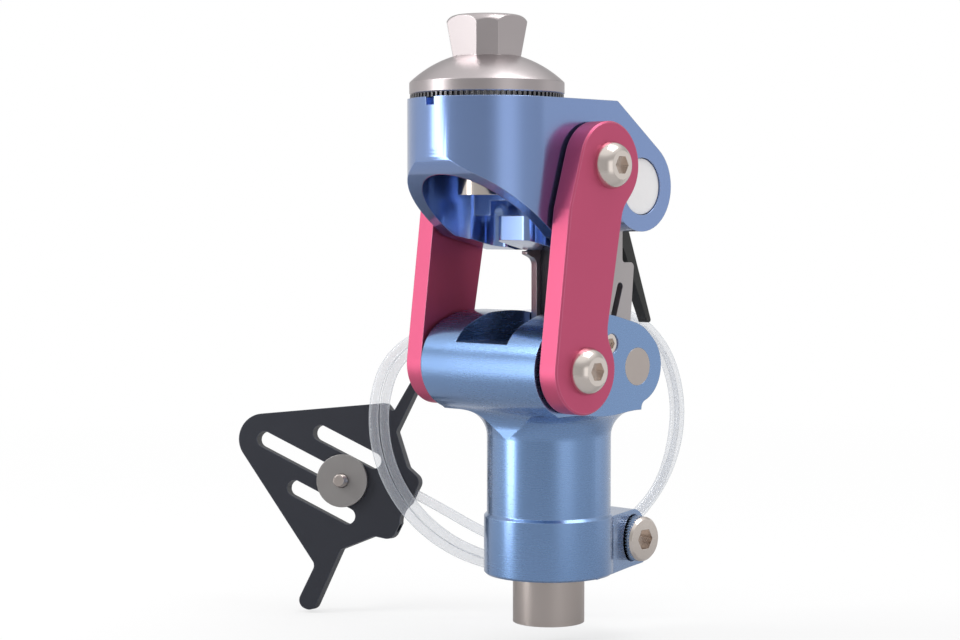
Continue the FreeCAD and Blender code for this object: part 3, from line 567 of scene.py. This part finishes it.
upperFrame = {
    "centre": -27.2, "radius": 23.5, "floor": 114.0, "top": 158.6, "half": 23.5,
    "cheeks": [(2.5, 114.0, 1.5), (2.5, 127.71, 3.0), (13.14, 115.89, 13.7), (29.6, 125.39, 13.7),
               (29.6, 140.25, 13.7), (4.53, 158.6, 1.5), (-27.2, 158.6, 0), (-27.2, 114.0, 0)],
    "mouth": [(-3.2, 90.5, 0), (-3.2, 114.0, 0), (-22.3, 118.4, 0), (-50.76, 139.57, 11.0),
              (-50.76, 162, 0), (-74.3, 162, 0), (-74.3, 90.5, 0)], "mouthHalf": 47,
    "boreRadius": 19.1, "boreTop": 153.6, "boreBack": -16.5, "boreLow": 108.0,
    "channel": {"radius": 4.3, "offset": 11.5, "back": -11.5, "top": 124.5, "lap": 0.1,
                "pillarRound": 3.0},
    "hollow": {"offset": 9.0, "front": -18.5, "back": -9.0, "low": 124.4, "top": 129.0},
    "slot": {"half": 10.9, "front": 1.0, "back": 60, "low": 104.0, "top": 168.6},
    "notch": {"half": 1.6, "deep": 2.4, "wide": 3}, "noseSlot": {"low": 7.6, "high": 10.7, "top": 122.6},
    "frontAxle": {"place": (-7.4, 139.1), "radius": 6.4, "seatRadius": 7.57, "seat": 14.5},
    "rearAxle": {"place": (15.9, 133.3), "radius": 6.02, "seatRadius": 8.65, "seat": 20.6},
    "stemRadius": 6.1, "edge": 0.35,
}


# cutters for the bore in front of its back wall, the channels beside the pillar and the hollow above
def cavityTools(u):
    c, h = u["channel"], u["hollow"]
    ahead, pillar = u["boreBack"] - u["centre"], c["pillarRound"]
    start = math.atan2(ahead, math.sqrt(u["boreRadius"] ** 2 - ahead ** 2))
    front = arc(u["boreRadius"], 0, u["centre"], math.pi - start, math.pi + 2 * start, 60)
    right = arc(c["radius"], c["offset"], c["back"], 0, math.pi, 18)
    right += arc(pillar, c["offset"] - c["radius"] - pillar, u["boreBack"] + pillar, 0, -math.pi / 2, 6)
    left = [(-a, b) for a, b in right[::-1]]
    tools = [prism(front, u["boreLow"], u["boreTop"], planView),
             prism(front + right + left, u["boreLow"], c["top"], planView),
             block((-h["offset"], h["front"], h["low"]), (h["offset"], h["back"], h["top"]))]
    ball = arc(c["radius"], 0, c["top"] - c["lap"], -math.pi / 2, math.pi, 24)
    return tools + [turned(ball, x, c["back"], 48) for x in (-c["offset"], c["offset"])]


def makeUpperFrame(u):
    nearEnd = u["centre"] - u["radius"]
    body = prism(circle(u["radius"], 0, u["centre"], 144), u["floor"], u["top"], planView)
    combine(body, "UNION", [prism(rounded(u["cheeks"]), -u["half"], u["half"], sideView)])
    tools = [prism(rounded(u["mouth"], 4), -u["mouthHalf"], u["mouthHalf"], sideView)] + cavityTools(u)
    slot, notch, nose = u["slot"], u["notch"], u["noseSlot"]
    tools.append(block((-slot["half"], slot["front"], slot["low"]),
                       (slot["half"], slot["back"], slot["top"])))
    tools.append(block((-notch["half"], nearEnd - over, u["top"] - notch["deep"]),
                       (notch["half"], nearEnd + notch["wide"], u["top"] + over)))
    for low, high in ((-nose["high"], -nose["low"]), (nose["low"], nose["high"])):
        tools.append(block((low, u["channel"]["back"], u["boreLow"]),
                           (high, slot["front"] + over, nose["top"])))
    tools.append(prism(circle(u["stemRadius"], 0, u["centre"]), u["boreTop"] - over, u["top"] + over,
                       planView))
    for axle in (u["frontAxle"], u["rearAxle"]):
        tools.append(prism(circle(axle["radius"], *axle["place"]), -through, through, sideView))
        for low, high in ((axle["seat"], through), (-through, -axle["seat"])):
            tools.append(prism(circle(axle["seatRadius"], *axle["place"]), low, high, sideView))
    combine(body, "DIFFERENCE", tools)
    finishPiece(body, ["upper_frame"], "upperFrame", u["edge"])


makeUpperFrame(upperFrame)

adapter = {
    "centre": -27.2, "bottom": 159.9, "radius": 22.9, "footCut": 0.4, "rim": 3.6, "rimCut": 0.15,
    "ball": 33.0, "neck": 9.9, "headLow": 9.2, "headHigh": 10.9, "cornerWidth": 6.4, "headHeight": 12.0,
    "round": 3.2, "edge": 0.3, "stem": {"radius": 6.0, "bottom": 132.5},
    "crown": {"under": 2, "wide": 4, "slope": 5, "lip": 0.05},
}


# a square with its corners cut, at its place in plan
def headSection(half, cornerWidth, centre):
    cut = half - cornerWidth / math.sqrt(2)
    points = []
    for turns in range(4):
        for a, b in ((half, cut), (cut, half)):
            for _ in range(turns):
                a, b = -b, a
            points.append((a, centre + b))
    return points


def makeAdapter(d):
    rimTop, stem, crown = d["bottom"] + d["rim"], d["stem"], d["crown"]
    ballCentre = rimTop - math.sqrt(d["ball"] ** 2 - d["radius"] ** 2)
    top = ballCentre + math.sqrt(d["ball"] ** 2 - d["neck"] ** 2)
    profile = [(0, stem["bottom"]), (stem["radius"], stem["bottom"]), (stem["radius"], d["bottom"]),
               (d["radius"] - d["footCut"], d["bottom"]), (d["radius"], d["bottom"] + d["footCut"]),
               (d["radius"], rimTop - d["rimCut"])]
    shoulder, rings = d["radius"] - d["rimCut"], 12
    for i in range(rings + 1):
        r = shoulder + (d["neck"] - shoulder) * i / rings
        profile.append((r, ballCentre + math.sqrt(d["ball"] ** 2 - r ** 2)))
    dome = turned(profile + [(0, top)], 0, d["centre"], 144)
    headTop = top + d["headHeight"]
    low, high = (headSection(d[key], d["cornerWidth"], d["centre"]) for key in ("headLow", "headHigh"))
    head = loft(low, high, top - over, headTop, planView)
    reach, shoulderTop = d["headHigh"] * math.sqrt(2) - d["cornerWidth"] / 2, headTop - d["round"]
    hood = [(0, top - crown["under"]), (reach + crown["wide"], top - crown["under"]),
            (reach + crown["wide"], shoulderTop - crown["slope"]), (reach + crown["lip"], shoulderTop)]
    hood += arc(d["round"], reach - d["round"], shoulderTop, 0, math.pi / 2, 8)[1:]
    combine(head, "INTERSECT", [turned(hood + [(0, headTop)], 0, d["centre"], 144)])
    combine(dome, "UNION", [head])
    finishPiece(dome, ["pyramid_adapter"], "pyramidAdapter", d["edge"], 24)


makeAdapter(adapter)

toothedRing = {"centre": -27.2, "bottom": 158.6, "top": 159.9, "radius": 21.6, "bore": 6.1, "tip": 22.7,
               "teeth": 84, "sink": 0.4, "rootShare": 0.32, "tipShare": 0.20}


# a flat ring with radial teeth, each one the same wedge
def makeToothedRing(r):
    low, high = r["bottom"], r["top"]
    pitch = 2 * math.pi * r["radius"] / r["teeth"]
    wedge = prism(toothOutline(r["radius"] - r["sink"], r["tip"], pitch, r), low, high, planView)
    teeth = repeatRound(wedge, r["teeth"], materials["ring_painted_shadow"])
    disc = prism(circle(r["radius"], count=168), low, high, planView)
    combine(disc, "DIFFERENCE", [prism(circle(r["bore"]), low - over, high + over, planView)])
    joined(disc, teeth, Matrix.Translation(Vector((0, r["centre"], 0)) * mm))
    finishPiece(disc, ["serrated_ring"], "toothedRing")


makeToothedRing(toothedRing)

cablePlate = {
    "half": 2.5, "edge": 0.4,
    "outline": [(-39.5, -4.83, 8.5), (4.6, -29.07, 2.5), (4.6, -43.9, 3.0), (10.96, -43.34, 2.6),
                (10.28, -20.4, 1.0), (18.59, -11.27, 1.5), (24.6, -9.66, 3.2), (24.6, 12.6, 3.2),
                (18.52, 14.23, 1.5), (9.8, 23.04, 1.0), (9.8, 43.6, 1.2), (7.13, 43.6, 1.4),
                (5.98, 28.23, 1.0), (2.26, 30.01, 1.5), (-39.5, 5.02, 8.5)],
    "slots": [(-30.4, 6, 0.3), (-13.6, 7.2, 11.0), (-13.4, 7.4, -9.5)], "slotRadius": 2.65,
    "dip": {"place": (30.6, 0), "radius": 7.0},
    "holes": [7.3, -5.2], "holeRadius": 1.62, "holeStart": 17.6, "holeEnd": 29.6,
}


def alongPlate(a, b, h):
    return onPlate(h, a, b)


def makeCablePlate(p):
    plate = prism(rounded(p["outline"]), -p["half"], p["half"], onPlate)
    tools = [prism(circle(p["dip"]["radius"], *p["dip"]["place"]), -past, past, onPlate)]
    r = p["slotRadius"]
    for start, end, place in p["slots"]:
        left, right, low, high = start - r, end + r, place - r, place + r
        slot = [(left, low, r), (right, low, r), (right, high, r), (left, high, r)]
        tools.append(prism(rounded(slot), -past, past, onPlate))
    for place in p["holes"]:
        hole = circle(p["holeRadius"], place, 0, 32)
        tools.append(prism(hole, p["holeStart"], p["holeEnd"], alongPlate))
    combine(plate, "DIFFERENCE", tools)
    finishPiece(plate, ["cable_plate"], "cablePlate", p["edge"])


makeCablePlate(cablePlate)

knob = {"place": (0.7, 0.3), "low": 2.6, "thick": 1.6, "radius": 8.8, "bore": 2.22, "edge": 0.25,
        "stud": {"radius": 2.2, "core": 1.85, "rootDeep": 0.1, "back": -6.5, "front": 7.5, "pitch": 0.8,
                 "around": 36, "rowsPerTurn": 10, "endRows": 8, "nut": 4.2, "nutBack": -5.6,
                 "nutFront": -2.6}}


# a round bar with a real thread, its ends narrowed to the core
def threadedBar(s, a, b, lift):
    around, along = s["around"], round((s["front"] - s["back"]) / s["pitch"] * s["rowsPerTurn"])
    root = s["core"] - s["rootDeep"]
    verts, faces = [], []
    for k in range(along + 1):
        h = s["back"] + (s["front"] - s["back"]) * k / along
        full = min(1, k / s["endRows"], (along - k) / s["endRows"])
        for i in range(around):
            phase = (h / s["pitch"] - i / around) % 1
            r = root + (s["radius"] - root) * (abs(phase - 0.5) * 2 * full)
            w = 2 * math.pi * i / around
            verts.append(lift(a + r * math.cos(w), b + r * math.sin(w), h))
    for k in range(along):
        for i in range(around):
            j = (i + 1) % around
            faces.append((k * around + i, k * around + j, (k + 1) * around + j, (k + 1) * around + i))
    faces += [tuple(range(around)), tuple(range(along * around, (along + 1) * around))]
    return newPiece("bar", verts, faces)


def makeKnob(k):
    a, b = k["place"]
    disc = prism(circle(k["radius"], a, b, 96), k["low"], k["low"] + k["thick"], onPlate)
    combine(disc, "DIFFERENCE", [prism(circle(k["bore"], a, b), 0, past, onPlate)])
    finishPiece(disc, ["cable_knob"], "cableKnob", k["edge"])
    s = k["stud"]
    bar = threadedBar(s, a, b, onPlate)
    combine(bar, "UNION", [prism(circle(s["nut"], a, b, 6), s["nutBack"], s["nutFront"], onPlate)])
    finishPiece(bar, ["knob_stud"], "knobStud", angle=50)


makeKnob(knob)

releaseLever = {
    "outline": [(46.37, 90.77, 0.8), (33.75, 123.48, 3.0), (14.12, 113.78, 2.6), (16.42, 109.12, 2.6),
                (31.46, 116.55, 3.0), (44.74, 90.15, 0.8)],
    "half": 1.9, "hub": 4.2, "hubHalf": 5.0, "pin": 2.05, "pivot": (17.6, 112.6), "edge": 0.5,
}


def makeLever(v):
    lever = prism(rounded(v["outline"]), -v["half"], v["half"], sideView)
    combine(lever, "UNION", [prism(circle(v["hub"], *v["pivot"]), -v["hubHalf"], v["hubHalf"], sideView)])
    combine(lever, "DIFFERENCE", [prism(circle(v["pin"], *v["pivot"]), -past, past, sideView)])
    finishPiece(lever, ["release_lever"], "releaseLever", v["edge"])


makeLever(releaseLever)

clampScrew = {
    "place": (27.0, 23.9), "face": 16.0, "length": 8.0, "radius": 7.0, "chamfer": 0.8,
    "band": 0.4, "bandStep": 0.15, "bandIn": 0.1, "key": 6.0, "keyDeep": 4.5,
    "shank": 4.0, "shankEnd": -11.5, "ribs": 44, "ribHeight": 0.32, "ribSink": 0.2, "ribLap": 0.05,
    "rootShare": 0.42, "tipShare": 0.10,
}


# socket head with real ribs round it and a plain band above them; made upright, then laid across
def makeClampScrew(c):
    seat, core, band = c["face"] - c["length"], c["radius"] - c["ribHeight"], c["radius"] - c["bandIn"]
    ribEnd = c["face"] - c["chamfer"] - c["band"]
    profile = [(0, c["shankEnd"]), (c["shank"], c["shankEnd"]), (c["shank"], seat), (core, seat),
               (core, ribEnd), (band, ribEnd + c["bandStep"]), (band, ribEnd + c["band"]),
               (c["radius"] - c["chamfer"], c["face"]), (0, c["face"])]
    screw = turned(profile, 0, 0, 132)
    pitch = 2 * math.pi * c["radius"] / c["ribs"]
    rib = prism(toothOutline(core - c["ribSink"], c["radius"], pitch, c), seat + c["ribSink"],
                ribEnd + c["ribLap"], planView)
    ribs = repeatRound(rib, c["ribs"], materials["polished_steel"])
    key = circle(c["key"] / math.sqrt(3), count=6)
    combine(screw, "DIFFERENCE", [prism(key, c["face"] - c["keyDeep"], c["face"] + over, planView)])
    y, z = c["place"]
    joined(screw, ribs, Matrix(((0, 0, 1, 0), (1, 0, 0, y * mm), (0, 1, 0, z * mm), (0, 0, 0, 1))))
    finishPiece(screw, ["clamp_screw"], "clampScrew", angle=30)


makeClampScrew(clampScrew)


floorPaper = {
    "half": 3.0, "drop": 0.0005, "colour": (0.86, 0.86, 0.86, 1), "glow": (1, 1, 1, 1),
    "near": 0.72, "fadeRate": 1.6, "fadeStart": 0.25,
    "dimShare": 0.45, "dim": (0.02, 0.02, 0.03, 1), "goneRate": 5, "goneStart": 1,
}


# pale paper that turns white further out; in reflections it is dim near the object and gone further out
def floor(p):
    mesh = bpy.data.meshes.new("floor")
    build = bmesh.new()
    bmesh.ops.create_grid(build, x_segments=1, y_segments=1, size=p["half"])
    build.to_mesh(mesh)
    build.free()
    mesh.transform(Matrix.Translation((0, 0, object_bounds()[0].z - p["drop"])))
    piece = bpy.data.objects.new("floor", mesh)
    bpy.context.scene.collection.objects.link(piece)
    m = Maker("floorPaper")
    path = m.node("ShaderNodeLightPath")
    way = m.node("ShaderNodeTexCoord").part("Object")
    far = m.node("ShaderNodeVectorMath", {"operation": "LENGTH"}, [way]).part("Value")
    white = p["near"] + (far * p["fadeRate"] - p["fadeStart"]).clamp() * (1 - p["near"])
    plain = m.node("ShaderNodeBsdfDiffuse", {}, {"Color": p["colour"]})
    glow = m.node("ShaderNodeEmission", {}, {"Color": p["glow"]})
    dark = m.node("ShaderNodeBsdfDiffuse", {}, {"Color": p["dim"]})
    seen = path.part("Is Camera Ray") + path.part("Is Transmission Ray")
    mirrored = path.part("Is Glossy Ray")
    blend = m.node("ShaderNodeMixShader", {}, [(seen * white).clamp(), plain, glow])
    dim = m.node("ShaderNodeMixShader", {}, [mirrored * p["dimShare"], blend, dark])
    lost = mirrored * (far * p["goneRate"] - p["goneStart"]).clamp()
    gone = m.node("ShaderNodeMixShader", {}, [lost, dim, m.node("ShaderNodeBsdfTransparent")])
    m.node("ShaderNodeOutputMaterial", {}, [gone])
    mesh.materials.append(m.material)
    piece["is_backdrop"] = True


# the studio round the object: brightness by compass direction, in degrees, and by height
studio = {
    "round": [(-180, 0.62), (-80, 0.62), (-62, 0.75), (-44, 0.62), (-36, 6.0), (-27, 6.0), (-21, 0.50),
              (0, 0.40), (46, 0.36), (56, 0.55), (66, 1.10), (80, 1.10), (98, 0.60), (128, 0.50),
              (140, 0.80), (150, 0.80), (165, 0.62), (180, 0.62)],
    "above": [(0.0, 0.40), (0.30, 0.34), (0.55, 0.50), (0.75, 0.9), (1.0, 1.0)],
    "lampTop": (0.22, 0.36), "mirroredShare": 0.15,
}


def world():
    made = bpy.data.worlds.new("studio")
    bpy.context.scene.world = made
    made.use_nodes = True
    m = Maker("studio", made.node_tree)
    split = m.node("ShaderNodeSeparateXYZ", {}, [m.node("ShaderNodeTexCoord").part("Generated")])
    x, y, up = split.part("X"), split.part("Y"), split.part("Z")
    turn = x.math("ARCTAN2", y * -1) / (2 * math.pi) + 0.5
    rows = [((way + 180) / 360, (v, v, v)) for way, v in studio["round"]]
    walls = m.node("ShaderNodeValToRGB", {"stops": rows}, [turn])
    ceiling = m.node("ShaderNodeValToRGB", {"stops": [(z, (v, v, v)) for z, v in studio["above"]]}, [up])
    low, high = studio["lampTop"]
    soft = m.mix(((up - low) / (high - low)).clamp(), walls, ceiling)
    path = m.node("ShaderNodeLightPath")
    seen = path.part("Is Camera Ray") + path.part("Is Transmission Ray")
    seen = seen + path.part("Is Glossy Ray") * studio["mirroredShare"]
    tone = m.mix(seen.clamp(), soft, (1, 1, 1, 1))
    back = m.node("ShaderNodeBackground", {}, [tone, 1.0])
    m.node("ShaderNodeOutputWorld", {}, [back])


lamps = {
    "key": {"place": (-0.75, -1.00, 1.05), "aim": (0, 0, 0.09), "size": (0.5, 0.5), "power": 8},
    "top": {"place": (0.35, 0.25, 1.25), "aim": (0, 0, 0.10), "size": (0.7, 0.7), "power": 5},
}


def studioLamps():
    for name, lamp in lamps.items():
        data = bpy.data.lights.new(name, "AREA")
        data.shape = "RECTANGLE"
        data.size, data.size_y = lamp["size"]
        data.energy = lamp["power"]
        made = bpy.data.objects.new(name, data)
        bpy.context.scene.collection.objects.link(made)
        made.location = lamp["place"]
        way = Vector(lamp["aim"]) - Vector(lamp["place"])
        made.rotation_euler = way.to_track_quat("-Z", "Y").to_euler()


def camera(c):
    data = bpy.data.cameras.new("camera")
    data.lens = c["lens"]
    data.sensor_width = c["sensor"]
    data.clip_start = c["nearest"]
    made = bpy.data.objects.new("camera", data)
    bpy.context.scene.collection.objects.link(made)
    turn, lift = math.radians(c["azimuth"]), math.radians(c["elevation"])
    back = Vector((math.sin(turn) * math.cos(lift), -math.cos(turn) * math.cos(lift), math.sin(lift)))
    made.location = Vector(c["target"]) + back * c["distance"]
    made.rotation_euler = (-back).to_track_quat("-Z", "Y").to_euler()
    bpy.context.scene.camera = made


world()
studioLamps()
camera(cameraPlace)
floor(floorPaper)
bpy.context.scene.view_settings.view_transform = "Standard"
print("studio and camera set")
